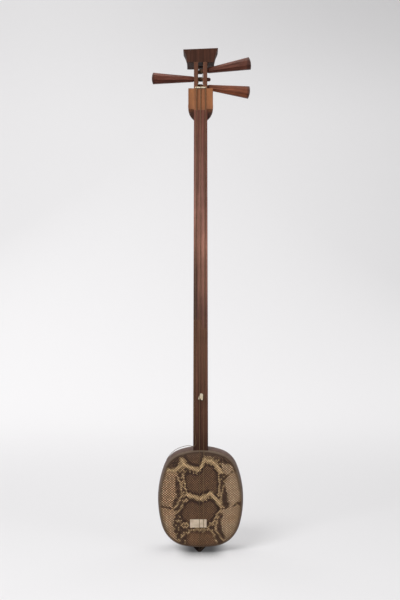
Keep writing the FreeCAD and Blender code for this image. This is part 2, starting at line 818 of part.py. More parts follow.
def build():
    """Every piece of the instrument by name."""
    parts = {}
    parts["frame_top"] = frame_stave("shoulder_right", ["top"], "shoulder_left")
    parts["frame_left"] = frame_stave("shoulder_left", ["upper_left", "lower_left"], "hip_left")
    parts["frame_bottom"] = frame_stave("hip_left", ["bottom"], "hip_right")
    parts["frame_right"] = frame_stave("hip_right", ["lower_right", "upper_right"], "shoulder_right")
    parts["neck_lower"] = make_neck_lower(parts["frame_top"])
    parts["tail_block"] = make_tail(parts["frame_bottom"])
    for name in ("frame_top", "frame_bottom"):
        parts[name] = parts[name].cut(spike_box(glue_gap))
    parts["neck_upper"] = make_neck_upper()
    parts["pegbox"] = make_pegbox()
    parts["head_block"] = make_head()
    parts["ear_left"] = make_ear(-1, pegbox_solid(), parts["neck_upper"])
    parts["ear_right"] = make_ear(1, pegbox_solid(), parts["neck_upper"])
    parts["nut"] = make_nut()
    for name, y in (("front_skin", skin_front_y), ("back_skin", frame_back_y)):
        parts[name] = Part.Face(drum_wire(y, 0)).extrude(V(0, skin_thickness, 0))
    for name, spec in peg_specs.items():
        parts[name] = make_peg(*spec)
    for which in string_pegs:
        parts["winding_" + which] = make_winding(which)
    parts["string_middle"] = make_taut_string("middle")
    parts["string_right"] = make_taut_string("right")
    parts["string_left"] = make_slack_string()
    parts["string_knots"] = make_knots()
    parts["bridge"] = make_bridge()
    parts["paper_label"] = make_label()
    return parts


os.makedirs("parts", exist_ok=True)
for name, shape in build().items():
    solids = shape.Solids
    if len(solids) == 1:
        shape = solids[0]
    print(name, len(solids), "valid", shape.isValid(), "volume %.0f" % shape.Volume)
    shape.exportStep("parts/" + name + ".step")
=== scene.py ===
import math

import bpy
import bmesh
import numpy as np
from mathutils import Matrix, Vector


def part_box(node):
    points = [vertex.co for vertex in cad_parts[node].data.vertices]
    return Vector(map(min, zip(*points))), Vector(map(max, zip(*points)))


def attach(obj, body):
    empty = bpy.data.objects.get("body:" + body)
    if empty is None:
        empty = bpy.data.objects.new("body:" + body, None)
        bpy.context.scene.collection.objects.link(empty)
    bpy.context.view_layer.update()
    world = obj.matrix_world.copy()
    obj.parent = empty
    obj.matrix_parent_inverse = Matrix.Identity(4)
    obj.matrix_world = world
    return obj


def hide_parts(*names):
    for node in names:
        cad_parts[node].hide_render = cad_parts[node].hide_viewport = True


# Looks of a small three-stringed lute with a snakeskin drum, in metres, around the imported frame.
# X is to the right seen from the front, Y runs from front to back, Z is up along the neck.

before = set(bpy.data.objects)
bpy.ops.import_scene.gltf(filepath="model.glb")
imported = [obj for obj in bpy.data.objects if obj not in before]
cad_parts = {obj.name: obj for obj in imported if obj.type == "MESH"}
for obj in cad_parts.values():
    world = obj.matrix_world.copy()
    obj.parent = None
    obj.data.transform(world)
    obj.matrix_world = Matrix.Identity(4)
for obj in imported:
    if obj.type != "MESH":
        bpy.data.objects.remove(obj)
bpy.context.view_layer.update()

MM = 0.001


def millimetres(*spot):
    """A point written in millimetres, as a vector in metres."""
    return Vector(spot) * MM


def paint(red, green, blue):
    """A colour as the eye reads it, 0 to 255 for each part, as a linear colour."""
    parts = []
    for part in (red, green, blue):
        share = part / 255
        parts.append(share / 12.92 if share <= 0.04045 else ((share + 0.055) / 1.055) ** 2.4)
    return (*parts, 1.0)


# Camera: level, in front of the instrument, at half its height.

CAMERA_PLACE = (-0.0012, -1.9825, 0.490)
CAMERA_LENS = 60.3
SENSOR_HEIGHT = 36.0


def make_camera():
    lens = bpy.data.cameras.new("photo_camera")
    lens.sensor_fit = "VERTICAL"
    lens.sensor_height = SENSOR_HEIGHT
    lens.lens = CAMERA_LENS
    lens.clip_end = 30
    seat = bpy.data.objects.new("photo_camera", lens)
    seat.location = CAMERA_PLACE
    seat.rotation_euler = (math.radians(90), 0, 0)
    bpy.context.scene.collection.objects.link(seat)
    bpy.context.scene.camera = seat


# Strings.

STRING_SIZE = 0.9 * MM
SLACK_EXIT = (-2.6, -19.802, 925.12)
SLACK_ROUTE = [
    SLACK_EXIT, (-4.25, -30.1, 910.0), (-8.3, -32.15, 904.8),
    (-8.6, -32.2, 888.0), (-8.2, -32.0, 862.0), (-8.9, -31.8, 818.0), (-8.4, -31.6, 761.0),
    (-9.3, -31.4, 704.0), (-8.9, -31.3, 646.0), (-9.9, -31.2, 588.0), (-9.5, -31.2, 530.0),
    (-10.5, -31.1, 472.0), (-10.1, -31.2, 414.0), (-11.2, -31.1, 356.0), (-10.9, -31.2, 298.0),
    (-11.9, -31.1, 258.0), (-11.5, -31.3, 236.0), (-10.0, -31.8, 224.0), (-8.9, -32.4, 215.5),
    (-9.2, -33.0, 209.5), (-12.0, -33.5, 206.3), (-16.5, -33.3, 206.6), (-22.5, -31.0, 207.6),
    (-29.0, -27.0, 206.2), (-36.0, -22.0, 203.7), (-43.5, -17.0, 200.3), (-50.5, -13.5, 195.9),
    (-57.0, -11.5, 190.2), (-62.5, -10.5, 183.6), (-66.8, -10.0, 176.9),
]


def string_curve(name, points, size=STRING_SIZE):
    """A round string on one smooth line, with the points as its control points."""
    curve = bpy.data.curves.new(name, "CURVE")
    curve.dimensions = "3D"
    curve.bevel_depth = 1.0
    curve.bevel_resolution = 3
    curve.resolution_u = 10
    curve.use_fill_caps = True
    spline = curve.splines.new("NURBS")
    spline.points.add(len(points) - 1)
    for point, spot in zip(spline.points, points):
        point.co = (*millimetres(*spot), 1.0)
        point.radius = size / 2
    spline.order_u = 3
    spline.use_endpoint_u = True
    piece = bpy.data.objects.new(name, curve)
    bpy.context.scene.collection.objects.link(piece)
    return piece


def make_slack_string():
    piece = string_curve("slack_string", SLACK_ROUTE)
    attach(piece, "root")
    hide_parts("string_left")
    return piece


TAUT_ROUTES = {
    "middle": [
        (2.6, -17.766, 912.586), (0.6, -28.8, 906.6), (0.0, -32.0, 904.9), (0.0, -32.2, 903.0),
        (-0.02, -32.17, 895.0), (-2.58, -33.25, 20.0), (-2.6, -33.25, 11.6), (-2.6, -32.7, 9.2),
        (-2.55, -30.0, 8.0), (-2.5, -27.2, 6.9),
    ],
    "right": [
        (2.6, -20.514, 938.879), (4.1, -29.2, 913.2), (4.6, -30.4, 909.3), (8.9, -32.0, 905.2),
        (9.3, -32.2, 903.6), (9.28, -32.17, 896.0), (5.22, -33.25, 20.0), (5.2, -33.25, 11.6),
        (5.1, -32.7, 9.2), (3.3, -30.0, 8.0), (1.1, -27.2, 6.9),
    ],
}
WINDINGS = {
    "left": ("left_peg", (-1, 921.8, 1.1), -2.6, 2.5438),
    "middle": ("lower_right_peg", (1, 907.8, -7.1), 2.6, -2.0701),
    "right": ("upper_right_peg", (1, 936.6, 9.8), 2.6, -2.8255),
}
PEG_Y = -15.0
SHAFT_RADIUS = 4.0
WINDING_TURNS = 4
WINDING_PITCH = 1.4
POINTS_PER_TURN = 16
WINDING_CLEARANCE = 0.1
TAIL_FRONT = -26.5
KNOT_PLACES = (-2.49, 1.02)
KNOT_HEIGHT = 4.4
KNOT_FORWARD = 0.45
KNOT_RADIUS = 1.3
KNOT_TURNS = 2
KNOT_STEPS = 24
KNOT_STRING_SIZE = 0.8 * MM
KNOT_ENDS = [(1.5, -0.5, -1.9), (1.7, -0.3, -2.9)]


def make_taut_strings():
    made = []
    for which, route in TAUT_ROUTES.items():
        piece = string_curve("taut_string_" + which, route)
        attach(piece, "root")
        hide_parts("string_" + which)
        made.append(piece)
    return made


def make_windings():
    """The turns of string on each peg: a helix about the peg's axis."""
    made = []
    for which, (body, (side, height, rise), lane, phase) in WINDINGS.items():
        tilt = math.radians(rise)
        towards = Vector((side * math.cos(tilt), 0, math.sin(tilt)))
        up = Vector((0, 1, 0)).cross(towards)
        centre = Vector((0, PEG_Y, height))
        lean = math.copysign(side, side * lane)
        half = WINDING_TURNS * WINDING_PITCH / 2
        radius = SHAFT_RADIUS + STRING_SIZE / MM / 2 + WINDING_CLEARANCE
        points = []
        for step in range(WINDING_TURNS * POINTS_PER_TURN + 1):
            turn = step / POINTS_PER_TURN
            angle = phase + 2 * math.pi * turn
            around = Vector((0, math.cos(angle), 0)) + up * math.sin(angle)
            points.append(centre + towards * lean * (half - WINDING_PITCH * turn) + around * radius)
        piece = string_curve("string_turns_" + which, points)
        piece.data.resolution_u = 3
        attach(piece, body)
        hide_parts("winding_" + which)
        made.append(piece)
    return made


def make_knots():
    """The tied ends: each string goes twice round itself on the tail, with a short end left."""
    made = []
    for index, x in enumerate(KNOT_PLACES):
        centre = Vector((x, TAIL_FRONT - KNOT_FORWARD, KNOT_HEIGHT))
        points = []
        for step in range(KNOT_STEPS + 1):
            share = step / KNOT_STEPS
            angle = math.pi / 2 + 2 * math.pi * KNOT_TURNS * share
            radius = KNOT_RADIUS - 0.25 * math.sin(angle * 0.5)
            points.append(centre + Vector((radius * math.cos(angle), -0.05 - 0.35 * share,
                                           radius * math.sin(angle))))
        points += [centre + Vector(end) for end in KNOT_ENDS]
        piece = string_curve("tied_end_%d" % (index + 1), points, KNOT_STRING_SIZE)
        piece.data.resolution_u = 4
        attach(piece, "root")
        made.append(piece)
    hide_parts("string_knots")
    return made


# Skins: the snake's pattern is written in millimetres on the front skin, x from the middle
# of the neck and z up from the tail, and each scale takes its colour from where its middle lies.

SCALE_WIDTH = 4.4
SCALE_WIDENING = 0.0036
SCALE_HEIGHT = 4.6
RELIEF = 0.2
SKIN_SPOKES = 640
SKIN_RINGS = 118
SKIN_CENTRE = (0.0, 105.0)
SKIN_ROLL = 2.4
ROLL_DEPTHS = [0.06, 0.3, 0.75]
SIDE_PROFILE = [(0.5, 1.6), (0.85, 3.0), (1.2, 4.6), (1.55, 6.5)]
RAGGED_EDGE = [(0.35, 9, 1), (0.25, 23, 2)]
ROLL_RELIEF = 0.4
SLOPE_STEP = 0.4
MIDDLE_FROM_EDGE = -90.0
BACK_PATTERN_SHIFT = (3.0, 196.0)

DARK_PATCHES = [
    [(-32, 199), (5, 199), (6, 187), (2, 178), (0, 169), (-7, 167), (-15, 169), (-21, 171), (-26, 177),
     (-31, 185)],
    [(-29, 154), (-17, 155), (-7, 152), (-3, 153), (2, 162), (6, 169), (10, 173), (18, 171), (25, 167),
     (31, 156), (34, 152), (35, 122), (31, 108), (19, 118), (10, 117), (-2, 111), (-11, 113), (-21, 115),
     (-27, 120), (-30, 129), (-32, 145)],
    [(-28, 98), (-21, 101), (-15, 102), (-7, 99), (-1, 95), (7, 101), (14, 102), (20, 104), (26, 100),
     (33, 90), (37, 84), (32, 77), (27, 68), (20, 59), (14, 54), (-5, 50), (-21, 52), (-28, 56), (-34, 62),
     (-39, 70), (-41, 76), (-36, 85), (-32, 92)],
    [(-23, 37), (-15, 41), (-7, 40), (-1, 38), (9, 40), (18, 39), (23, 38), (27, 32), (30, 24), (34, 13),
     (34, 1), (-32, 1), (-28, 15), (-27, 24), (-26, 32)],
]
CREAM_BANDS = [
    [(-38, 182), (-34, 174), (-28, 168), (-21, 166), (-13, 163), (-5, 160), (0, 165), (5, 174), (8, 181),
     (14, 179), (22, 177), (28, 171), (35, 163), (40, 156)],
    [(-34, 170), (-42, 165), (-50, 160), (-57, 159), (-63, 161)],
    [(-26, 113), (-21, 109), (-11, 108), (-1, 104), (7, 108), (14, 112), (21, 115), (26, 108), (32, 101),
     (37, 94)],
]
CREAM_LINES = [
    [(-36, 152), (-32, 141), (-30, 125), (-26, 116), (-21, 110)],
    [(-44, 145), (-39, 133), (-37, 121), (-36, 110), (-41, 102), (-46, 92), (-52, 85)],
    [(-28, 104), (-34, 96), (-40, 85), (-45, 77)],
    [(-44, 63), (-38, 56), (-32, 50), (-27, 57), (-24, 52)],
    [(35, 152), (37, 137), (36, 121), (35, 110)],
    [(44, 131), (43, 121), (40, 112), (39, 104), (41, 96)],
    [(26, 108), (34, 100), (40, 88), (38, 81), (32, 75), (29, 67), (22, 57), (14, 51)],
    [(33, 67), (31, 55), (29, 44), (34, 36), (41, 27), (45, 21)],
    [(-24, 36), (-21, 43), (-11, 45), (-1, 44), (10, 45), (22, 42), (25, 34), (30, 22), (34, 15)],
    [(-42, 22), (-36, 30), (-31, 36)],
]
TAN_SIDES = [
    [(-83, 160), (-62, 160), (-55, 160), (-48, 157), (-44, 150), (-40, 137), (-38, 121), (-39, 108),
     (-44, 98), (-52, 86), (-57, 87), (-67, 90), (-83, 92)],
    [(-87, 88), (-67, 86), (-55, 83), (-48, 77), (-52, 63), (-54, 48), (-48, 32), (-44, 19), (-87, 15)],
    [(40, 174), (61, 168), (65, 160), (55, 152), (49, 148), (43, 158)],
    [(49, 145), (55, 150), (61, 153), (67, 156), (86, 145), (86, 104), (76, 100), (67, 96), (59, 88),
     (51, 88), (43, 96), (42, 106), (47, 121), (47, 137)],
    [(43, 83), (55, 86), (69, 92), (86, 90), (86, 24), (49, 19), (38, 32), (30, 48), (34, 63), (37, 75)],
]
DARK_FLANKS = [
    [(-48, 147), (-41, 139), (-39, 125), (-39, 110), (-44, 98), (-50, 88), (-55, 88), (-56, 96), (-49, 106),
     (-47, 121), (-49, 135)],
    [(43, 121), (49, 127), (52, 114), (53, 102), (57, 92), (51, 88), (43, 96), (42, 108)],
    [(37, 77), (43, 75), (40, 59), (41, 44), (49, 28), (43, 26), (34, 38), (30, 50), (33, 63)],
    [(-84, 152), (-64, 162), (-54, 162), (-46, 166), (-40, 177), (-34, 185), (-33, 204), (-84, 204)],
    [(38, 180), (44, 174), (61, 169), (67, 161), (86, 146), (86, 204), (8, 204), (10, 190), (24, 185)],
]
BAND_HALF = 3.7
LINE_HALF = 1.1


def to_segments(x, z, points, closed):
    """Distance from each place to a line of points, and whether a closed line goes round it."""
    corners = np.array(points, float)
    if closed:
        corners = np.vstack([corners, corners[:1]])
    nearest = np.full(x.shape, 1e9)
    inside = np.zeros(x.shape, bool)
    for (x0, z0), (x1, z1) in zip(corners[:-1], corners[1:]):
        dx, dz = x1 - x0, z1 - z0
        share = np.clip(((x - x0) * dx + (z - z0) * dz) / (dx * dx + dz * dz), 0, 1)
        nearest = np.minimum(nearest, np.hypot(x - x0 - share * dx, z - z0 - share * dz))
        if closed and dz != 0:
            crosses = (z0 > z) != (z1 > z)
            inside ^= crosses & (x < x0 + (z - z0) / dz * dx)
    return nearest, inside


def shape_distance(x, z, shapes, half=None):
    """How far each place is outside the nearest shape, less than nothing inside it."""
    best = np.full(x.shape, 1e9)
    for points in shapes:
        nearest, inside = to_segments(x, z, points, half is None)
        if half is None:
            signed = np.where(inside, -nearest, nearest)
        else:
            signed = nearest - half
        best = np.minimum(best, signed)
    return best


def cream_distance(x, z):
    bands = shape_distance(x, z, CREAM_BANDS, BAND_HALF)
    return np.minimum(bands, shape_distance(x, z, CREAM_LINES, LINE_HALF))


SKIN_LAYERS = {
    "patch": lambda x, z: shape_distance(x, z, DARK_PATCHES),
    "cream": cream_distance,
    "side": lambda x, z: shape_distance(x, z, TAN_SIDES),
    "flank": lambda x, z: shape_distance(x, z, DARK_FLANKS),
}


def scale_coordinates(x, z):
    """Place in the slanted rows of scales: whole numbers fall on the gaps between them."""
    column = np.sign(x) * np.log1p(SCALE_WIDENING * np.abs(x)) / (SCALE_WIDENING * SCALE_WIDTH)
    row = z / SCALE_HEIGHT
    return column + row, column - row


def scale_height(x, z):
    """Relief of the overlapping scales, from 0 in the gaps to 1 on the crowns."""
    u, v = scale_coordinates(x, z)
    fu, fv = u - np.floor(u), v - np.floor(v)
    edge = np.minimum(np.minimum(fu, 1 - fu), np.minimum(fv, 1 - fv))
    rise = np.clip(edge / 0.26, 0, 1)
    pillow = rise * rise * (3 - 2 * rise)
    return pillow * (0.72 + 0.28 * (1 - (fu + 1 - fv) / 2) * 2)


def outline_radii(node, count):
    """Distance from the skin's centre to its edge, evenly round, from the frame's own skin."""
    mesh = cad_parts[node].data
    spots = np.array([vertex.co for vertex in mesh.vertices]) / MM
    dx = spots[:, 0] - SKIN_CENTRE[0]
    dz = spots[:, 2] - SKIN_CENTRE[1]
    angles = np.arctan2(dz, dx)
    reach = np.hypot(dx, dz)
    order = np.argsort(angles)
    angles, reach = angles[order], reach[order]
    wanted = np.linspace(-math.pi, math.pi, count, endpoint=False)
    return wanted, np.interp(wanted, angles, reach, period=2 * math.pi)


def make_skin(node, name, facing):
    """A skin with its scales in relief, rolled over the frame's edge and glued down its side."""
    low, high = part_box(node)
    plane = (low.y if facing < 0 else high.y) / MM
    angles, reach = outline_radii(node, SKIN_SPOKES)
    rings = []
    for share in np.linspace(0, 1, SKIN_RINGS + 1)[1:]:
        radius = (reach - SKIN_ROLL) * share
        rings.append((radius, np.zeros_like(radius)))
    for step, depth in enumerate(ROLL_DEPTHS, 1):
        radius = reach - SKIN_ROLL * (1 - step / len(ROLL_DEPTHS))
        rings.append((radius, np.full_like(angles, depth)))
    for out, depth in SIDE_PROFILE:
        rings.append((reach + out, np.full_like(angles, depth)))
    edge_depth = rings[-1][1]
    for size, waves, start in RAGGED_EDGE:
        edge_depth += size * np.sin(angles * waves + start)
    count = len(angles)
    xs = np.concatenate([[0.0]] + [radius * np.cos(angles) for radius, depth in rings]) + SKIN_CENTRE[0]
    zs = np.concatenate([[0.0]] + [radius * np.sin(angles) for radius, depth in rings]) + SKIN_CENTRE[1]
    depths = np.concatenate([[0.0]] + [depth for radius, depth in rings])
    from_edge = np.concatenate([[MIDDLE_FROM_EDGE]] + [
        np.where(depth > 0, depth, radius - reach) for radius, depth in rings])
    if facing < 0:
        pattern_x, pattern_z = xs, zs
    else:
        pattern_x, pattern_z = BACK_PATTERN_SHIFT[0] - xs, BACK_PATTERN_SHIFT[1] - zs
    relief = scale_height(pattern_x, pattern_z)
    fade = np.ones(len(xs))
    fade[1 + SKIN_RINGS * count:] = ROLL_RELIEF
    ys = plane - facing * depths + facing * RELIEF * (relief * fade - 1)
    spots = np.column_stack([xs, ys, zs]) * MM
    faces = []
    for spoke in range(count):
        after = (spoke + 1) % count
        faces.append((0, 1 + spoke, 1 + after))
    for ring in range(len(rings) - 1):
        a = 1 + ring * count
        b = a + count
        for spoke in range(count):
            after = (spoke + 1) % count
            faces.append((a + spoke, b + spoke, b + after, a + after))
    if facing < 0:
        faces = [face[::-1] for face in faces]
    mesh = bpy.data.meshes.new(name)
    mesh.from_pydata(spots.tolist(), [], faces)
    mesh.update()
    for label, layer in SKIN_LAYERS.items():
        step = SLOPE_STEP
        middle = layer(pattern_x, pattern_z)
        rise_x = layer(pattern_x + step, pattern_z) - layer(pattern_x - step, pattern_z)
        rise_z = layer(pattern_x, pattern_z + step) - layer(pattern_x, pattern_z - step)
        slope_x, slope_z = rise_x / (2 * step), rise_z / (2 * step)
        values = np.column_stack([middle, slope_x, slope_z]).astype(np.float32)
        attribute = mesh.attributes.new(label, "FLOAT_VECTOR", "POINT")
        attribute.data.foreach_set("vector", values.ravel())
    places = np.column_stack([pattern_x, from_edge, pattern_z]).astype(np.float32)
    attribute = mesh.attributes.new("place", "FLOAT_VECTOR", "POINT")
    attribute.data.foreach_set("vector", places.ravel())
    mesh.shade_smooth()
    piece = bpy.data.objects.new(name, mesh)
    bpy.context.scene.collection.objects.link(piece)
    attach(piece, "root")
    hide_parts(node)
    return piece


# Shader tools.

def put(tree, kind, inputs=None, **settings):
    """Adds a node, with its settings, and sets or links its inputs by name or number."""
    made = tree.nodes.new(kind)
    for name, value in settings.items():
        setattr(made, name, value)
    for key, value in (inputs or {}).items():
        if isinstance(value, bpy.types.NodeSocket):
            tree.links.new(value, made.inputs[key])
        else:
            made.inputs[key].default_value = value
    return made


def maths(tree, operation, first, second=0.0, third=0.0):
    return put(tree, "ShaderNodeMath", {0: first, 1: second, 2: third}, operation=operation).outputs[0]


def blended(tree, share, first, second, way="MIX"):
    """Two colours mixed by a share."""
    made = put(tree, "ShaderNodeMix", {0: share, 6: first, 7: second}, data_type="RGBA", blend_type=way)
    return made.outputs[2]


def ramped(tree, value, low, high, first=0.0, last=1.0):
    """A value read between low and high and given back between first and last, smoothly."""
    inputs = {"Value": value, "From Min": low, "From Max": high, "To Min": first, "To Max": last}
    return put(tree, "ShaderNodeMapRange", inputs, interpolation_type="SMOOTHSTEP").outputs[0]


def grey(tree, value):
    """A value as a grey colour, to multiply another colour with."""
    return put(tree, "ShaderNodeCombineColor", {0: value, 1: value, 2: value}).outputs[0]


def lens_sees(tree):
    """1 for the rays of the camera, of reflections and through glass, 0 for the light itself."""
    rays = put(tree, "ShaderNodeLightPath").outputs
    others = maths(tree, "MAXIMUM", rays["Is Glossy Ray"], rays["Is Transmission Ray"])
    return maths(tree, "MAXIMUM", rays["Is Camera Ray"], others)


def fractal(tree, place, scale, detail=2.0, roughness=0.5, distortion=0.0):
    inputs = {"Vector": place, "Scale": scale, "Detail": detail, "Roughness": roughness,
              "Distortion": distortion}
    return put(tree, "ShaderNodeTexNoise", inputs).outputs["Fac"]


def stretched(tree, place, across, along):
    """A place in metres measured in widths across the grain and lengths along it."""
    sizes = (1 / across, 1 / across, 1 / along)
    return put(tree, "ShaderNodeVectorMath", {0: place, 1: sizes}, operation="MULTIPLY").outputs[0]


def new_group(name, inputs, outputs):
    """An empty shader node group with its sockets, and its two end nodes."""
    tree = bpy.data.node_groups.new(name, "ShaderNodeTree")
    for label, kind, value in inputs:
        socket = tree.interface.new_socket(name=label, in_out="INPUT", socket_type=kind)
        socket.default_value = value
    for label, kind in outputs:
        tree.interface.new_socket(name=label, in_out="OUTPUT", socket_type=kind)
    return tree, put(tree, "NodeGroupInput").outputs, put(tree, "NodeGroupOutput").inputs


COLOUR = "NodeSocketColor"
VALUE = "NodeSocketFloat"
VECTOR = "NodeSocketVector"


def grain_group():
    """Straight wood grain along Z over a base colour: growth bands, fine fibres, short pores."""
    tree, given, wanted = new_group(
        "straight_grain",
        [("Place", VECTOR, (0, 0, 0)), ("Base", COLOUR, paint(110, 70, 50)),
         ("Band width", VALUE, 0.004), ("Contrast", VALUE, 1.0)],
        [("Colour", COLOUR), ("Gloss loss", VALUE), ("Height", VALUE)])
    long_size = maths(tree, "MULTIPLY", given["Band width"], 60.0)
    sizes = put(tree, "ShaderNodeCombineXYZ", {0: given["Band width"], 1: given["Band width"], 2: long_size})
    broad = put(tree, "ShaderNodeVectorMath", {0: given["Place"], 1: sizes.outputs[0]}, operation="DIVIDE")
    bands = fractal(tree, broad.outputs[0], 1.0, 3.0, 0.6, 0.3)
    fibres = fractal(tree, stretched(tree, given["Place"], 0.0009, 0.11), 1.0, 2.0, 0.6)
    hairs = fractal(tree, stretched(tree, given["Place"], 0.00028, 0.009), 1.0, 1.0)
    pores = ramped(tree, hairs, 0.60, 0.70)
    broad_swing = ramped(tree, bands, 0.34, 0.66, -0.45, 0.36)
    fine_swing = ramped(tree, fibres, 0.3, 0.7, -0.2, 0.2)
    swing = maths(tree, "MULTIPLY", maths(tree, "ADD", broad_swing, fine_swing), given["Contrast"])
    tint = put(tree, "ShaderNodeCombineColor", {
        0: maths(tree, "MULTIPLY_ADD", swing, 0.9, 1.0), 1: maths(tree, "MULTIPLY_ADD", swing, 1.0, 1.0),
        2: maths(tree, "MULTIPLY_ADD", swing, 1.08, 1.0)}).outputs[0]
    colour = blended(tree, 1.0, given["Base"], tint, "MULTIPLY")
    colour = blended(tree, maths(tree, "MULTIPLY", pores, 0.4), colour, paint(30, 18, 14))
    tree.links.new(colour, wanted["Colour"])
    loss = maths(tree, "MULTIPLY_ADD", pores, 0.22, maths(tree, "MULTIPLY", fibres, 0.12))
    tree.links.new(loss, wanted["Gloss loss"])
    height = maths(tree, "SUBTRACT", maths(tree, "MULTIPLY", fibres, 0.5), pores)
    tree.links.new(height, wanted["Height"])
    return tree


def rub_group():
    """Where hands and cases have rubbed: along the edges, broken up by a fine noise."""
    tree, given, wanted = new_group(
        "edge_rub",
        [("Reach", VALUE, 0.0012), ("Amount", VALUE, 1.0)],
        [("Rubbed", VALUE)])
    rounded = put(tree, "ShaderNodeBevel", {"Radius": given["Reach"]}, samples=6).outputs[0]
    flat = put(tree, "ShaderNodeNewGeometry").outputs["Normal"]
    facing = put(tree, "ShaderNodeVectorMath", {0: rounded, 1: flat}, operation="DOT_PRODUCT")
    edge = ramped(tree, facing.outputs["Value"], 0.97, 0.80)
    place = put(tree, "ShaderNodeTexCoord").outputs["Object"]
    broken = ramped(tree, fractal(tree, place, 260.0, 3.0, 0.6), 0.38, 0.62)
    rubbed = maths(tree, "MULTIPLY", maths(tree, "MULTIPLY", edge, broken), given["Amount"])
    tree.links.new(rubbed, wanted["Rubbed"])
    return tree


def age_group():
    """Uneven colour and gloss of an old surface: broad clouds and small smudges."""
    tree, given, wanted = new_group(
        "age",
        [("Colour", COLOUR, (0.5, 0.5, 0.5, 1)), ("Grime", COLOUR, paint(40, 30, 24)),
         ("Amount", VALUE, 0.3)],
        [("Colour", COLOUR), ("Gloss loss", VALUE)])
    place = put(tree, "ShaderNodeTexCoord").outputs["Object"]
    clouds = ramped(tree, fractal(tree, place, 22.0, 3.0, 0.55), 0.35, 0.7)
    smudges = ramped(tree, fractal(tree, place, 90.0, 4.0, 0.65, 0.4), 0.45, 0.7)
    cover = maths(tree, "MULTIPLY", clouds, given["Amount"])
    tree.links.new(blended(tree, cover, given["Colour"], given["Grime"]), wanted["Colour"])
    tree.links.new(maths(tree, "MULTIPLY", smudges, 0.14), wanted["Gloss loss"])
    return tree


GROUPS = {}


def grouped(tree, name, inputs):
    return put(tree, "ShaderNodeGroup", inputs, node_tree=GROUPS[name]).outputs


def blank_material(name):
    """A new material with only its shader and its output."""
    made = bpy.data.materials.new(name)
    made.use_nodes = True
    tree = made.node_tree
    tree.nodes.clear()
    shader = put(tree, "ShaderNodeBsdfPrincipled")
    tree.links.new(shader.outputs[0], put(tree, "ShaderNodeOutputMaterial").inputs[0])
    return made, tree, shader.inputs


def toned(tree, place, tones):
    """A colour by the height above the tail, blended between the heights listed."""
    if len(tones) == 1:
        return paint(*tones[0][1])
    low, high = tones[0][0], tones[-1][0]
    height = put(tree, "ShaderNodeSeparateXYZ", {0: place}).outputs[2]
    share = put(tree, "ShaderNodeMapRange", {
        "Value": height, "From Min": low * MM, "From Max": high * MM})
    made = put(tree, "ShaderNodeValToRGB", {"Fac": share.outputs[0]})
    stops = made.color_ramp.elements
    stops.remove(stops[1])
    stops[0].color = paint(*tones[0][1])
    for spot, colour in tones[1:]:
        stops.new((spot - low) / (high - low)).color = paint(*colour)
    return made.outputs[0]


def left_dark_streak(tree, place, colour):
    """A dark streak down the left side of the upper neck, strongest above the splice."""
    parts = put(tree, "ShaderNodeSeparateXYZ", {0: place}).outputs
    broken = fractal(tree, stretched(tree, place, 0.0014, 0.09), 1.0, 2.0, 0.6)
    side = ramped(tree, maths(tree, "MULTIPLY_ADD", broken, 0.006, parts[0]), -0.001, -0.0075)
    low = ramped(tree, parts[2], 0.66, 0.50)
    share = maths(tree, "MULTIPLY", maths(tree, "MULTIPLY", side, low), 0.75)
    return blended(tree, share, colour, paint(58, 44, 42))


def dark_ends(tree, place, colour):
    """Dirt and dark end grain at the broad ends of the pegs."""
    away = maths(tree, "ABSOLUTE", put(tree, "ShaderNodeSeparateXYZ", {0: place}).outputs[0])
    return blended(tree, ramped(tree, away, 0.0885, 0.0925, 0.0, 0.6), colour, paint(46, 26, 22))


HEAD_TONES = [(950, (66, 38, 27))]
PEGBOX_TONES = [(860, (136, 86, 55)), (902, (136, 86, 55)), (908, (106, 66, 46)), (953, (98, 60, 42))]
# The ears' own colour is from 862 mm up; the two dark tones below it are painted shade on the chin that
# curves back under the ears' front.
EAR_TONES_WITH_PAINTED_SHADE = [
    (842, (70, 45, 38)), (854, (84, 55, 45)), (862, (140, 90, 60)), (872, (152, 98, 62)),
    (905, (154, 99, 62)),
]
# The upper neck's tones carry a painted reflection: brightest around 590 to 690 mm, darker towards both
# ends.
NECK_TONES_WITH_PAINTED_SHEEN = [
    (434, (94, 62, 51)), (470, (97, 65, 56)), (510, (122, 83, 70)), (588, (148, 103, 87)),
    (690, (142, 98, 86)), (780, (118, 77, 66)), (850, (112, 67, 53)),
]
# The lower neck darkens towards the drum: painted shade, for the darker surroundings its lower part
# reflects.
LOWER_NECK_TONES_WITH_PAINTED_SHADE = [
    (198, (56, 30, 18)), (212, (64, 36, 24)), (235, (84, 53, 39)), (285, (90, 57, 43)),
    (350, (95, 63, 48)), (451, (100, 67, 51)),
]
FRAME_TONES = [(100, (90, 66, 56))]
# The tail is coloured almost black, far darker than the other wood: painted shade of its place under the
# drum.
TAIL_TONES_WITH_PAINTED_SHADE = [(0, (24, 13, 11))]
PEGS = {
    "peg_left": (-1, 1.1, (94, 52, 40)),
    "peg_upper_right": (1, 9.8, (94, 54, 42)),
    "peg_lower_right": (1, -7.1, (124, 70, 47)),
}
RUBBED_WOOD = (150, 112, 84)
WOOD_GRIME = 0.25


